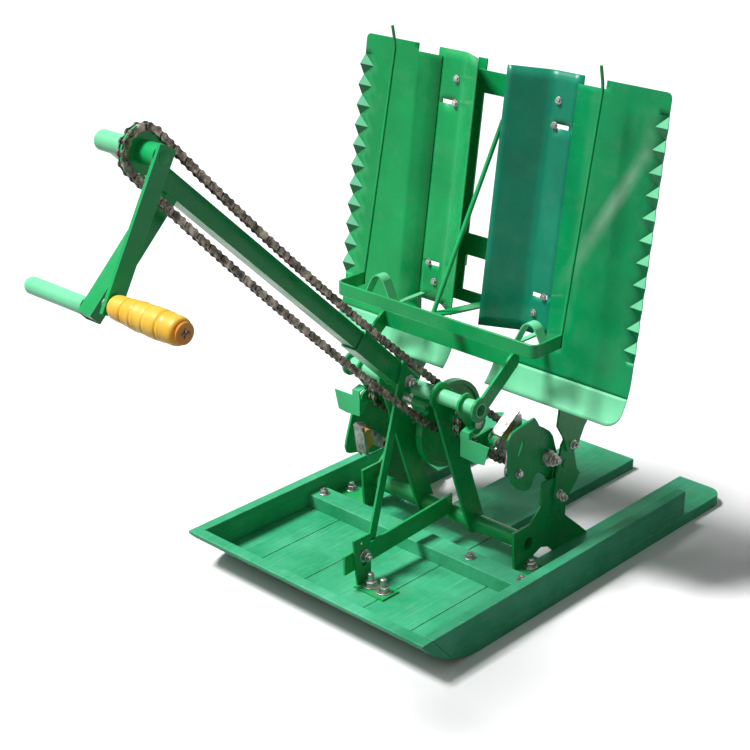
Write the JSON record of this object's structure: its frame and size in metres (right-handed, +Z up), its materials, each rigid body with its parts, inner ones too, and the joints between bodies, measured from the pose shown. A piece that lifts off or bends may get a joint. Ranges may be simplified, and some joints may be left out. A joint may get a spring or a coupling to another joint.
{
  "type": "manual rice transplanter",
  "caption": "Hand-cranked walk-behind rice seedling transplanter: seedling tray, planting arms and chain boom on a wooden sledge float.",
  "frame": {"origin": "on the ground under the lower cross tube, midway across the float", "axes": "+X to the operator's right when facing the float's tails, +Y away from the operator's handle towards the float's tails, +Z up"},
  "size_m": [0.544, 1.0669, 0.7654],
  "materials": {
    "painted_wood": "painted, worn",
    "green_paint": "gloss, chipped",
    "pale_paint": "satin",
    "bare_steel": "worn",
    "chain_steel": "oiled",
    "yellow_plastic": "gloss, dusty",
    "orange_plastic": "matte"
  },
  "bodies": {
    "frame": {"tongue_board": "painted_wood", "skid_boards": "painted_wood", "floor_boards": "painted_wood", "bow_board": "painted_wood", "rail_left": "painted_wood", "rail_right": "painted_wood", "cross_beam": "painted_wood", "bracket_left": "green_paint", "bracket_right": "green_paint", "cross_tube": "green_paint", "frame_plate_left": "green_paint", "frame_plate_right": "green_paint", "main_tube": "green_paint", "drive_tubes": "green_paint", "drive_plates": "green_paint", "planting_tubes": "green_paint", "depth_bracket": "green_paint", "depth_strap": "green_paint", "strut": "green_paint", "sleeve": "green_paint", "boom": "green_paint", "head_tube": "green_paint", "hanger": "green_paint", "guide_grip": "green_paint", "hoop": "green_paint", "rear_plate_left": "green_paint", "rear_plate_right": "green_paint", "post_left": "green_paint", "post_right": "green_paint", "guard_left": "pale_paint", "guard_right": "pale_paint", "slide_rail": "bare_steel", "drive_chain": "chain_steel", "side_chains": "chain_steel"},
    "crank": {"crank_axle": "bare_steel", "crank_sprocket": "green_paint", "crank_arm": "green_paint", "crank_pin": "bare_steel"},
    "hand_grip": {"grip": "yellow_plastic"},
    "drive_shaft": {"drive_shaft": "bare_steel", "drive_sprockets": "green_paint"},
    "planting_shaft": {"planting_shaft": "bare_steel", "feed_wheel": "green_paint", "crank_left": "bare_steel", "crank_right": "bare_steel"},
    "planter_left": {"arm_left": "green_paint", "claw_left": "bare_steel", "pusher_left": "orange_plastic"},
    "planter_right": {"arm_right": "green_paint", "claw_right": "bare_steel", "pusher_right": "orange_plastic"},
    "rocker_left": {"rocker_left": "green_paint"},
    "rocker_right": {"rocker_right": "green_paint"},
    "tray": {"tray_left": "green_paint", "tray_right": "green_paint", "divider_left": "green_paint", "divider_right": "green_paint", "tray_frame": "green_paint", "hold_down": "green_paint", "arches": "green_paint"}
  },
  "joints": [
    {"name": "crank_spin", "type": "hinge", "parent": "frame", "child": "crank", "pos_m": [0.06, -0.56904, 0.73259], "axis": [1, 0, 0], "continuous": true},
    {"name": "grip_spin", "type": "hinge", "parent": "crank", "child": "hand_grip", "pos_m": [0.12, -0.65186, 0.58069], "axis": [1, 0, 0], "continuous": true},
    {"name": "drive_shaft_spin", "type": "hinge", "parent": "frame", "child": "drive_shaft", "pos_m": [0, -0.0573, 0.24878], "axis": [1, 0, 0], "continuous": true},
    {"name": "planting_shaft_spin", "type": "hinge", "parent": "frame", "child": "planting_shaft", "pos_m": [0, 0.02707, 0.18143], "axis": [1, 0, 0], "continuous": true},
    {"name": "planter_left_swing", "type": "hinge", "parent": "planting_shaft", "child": "planter_left", "pos_m": [-0.14, 0.01016, 0.18759], "axis": [1, 0, 0], "continuous": true},
    {"name": "planter_right_swing", "type": "hinge", "parent": "planting_shaft", "child": "planter_right", "pos_m": [0.14, 0.04398, 0.17528], "axis": [1, 0, 0], "continuous": true},
    {"name": "rocker_left_swing", "type": "hinge", "parent": "frame", "child": "rocker_left", "pos_m": [-0.145, 0.07307, 0.15843], "axis": [1, 0, 0], "range_deg": [-10, 10]},
    {"name": "rocker_right_swing", "type": "hinge", "parent": "frame", "child": "rocker_right", "pos_m": [0.145, 0.07307, 0.15843], "axis": [1, 0, 0], "range_deg": [-10, 10]},
    {"name": "tray_slide", "type": "slide", "parent": "frame", "child": "tray", "axis": [1, 0, 0], "range_m": [-0.04, 0.04]}
  ],
  "couplings": [
    {"joint": "drive_shaft_spin", "follows": "crank_spin", "ratio": 1},
    {"joint": "planting_shaft_spin", "follows": "crank_spin", "ratio": 1},
    {"joint": "planter_left_swing", "follows": "crank_spin", "ratio": -1},
    {"joint": "planter_right_swing", "follows": "crank_spin", "ratio": -1}
  ]
}
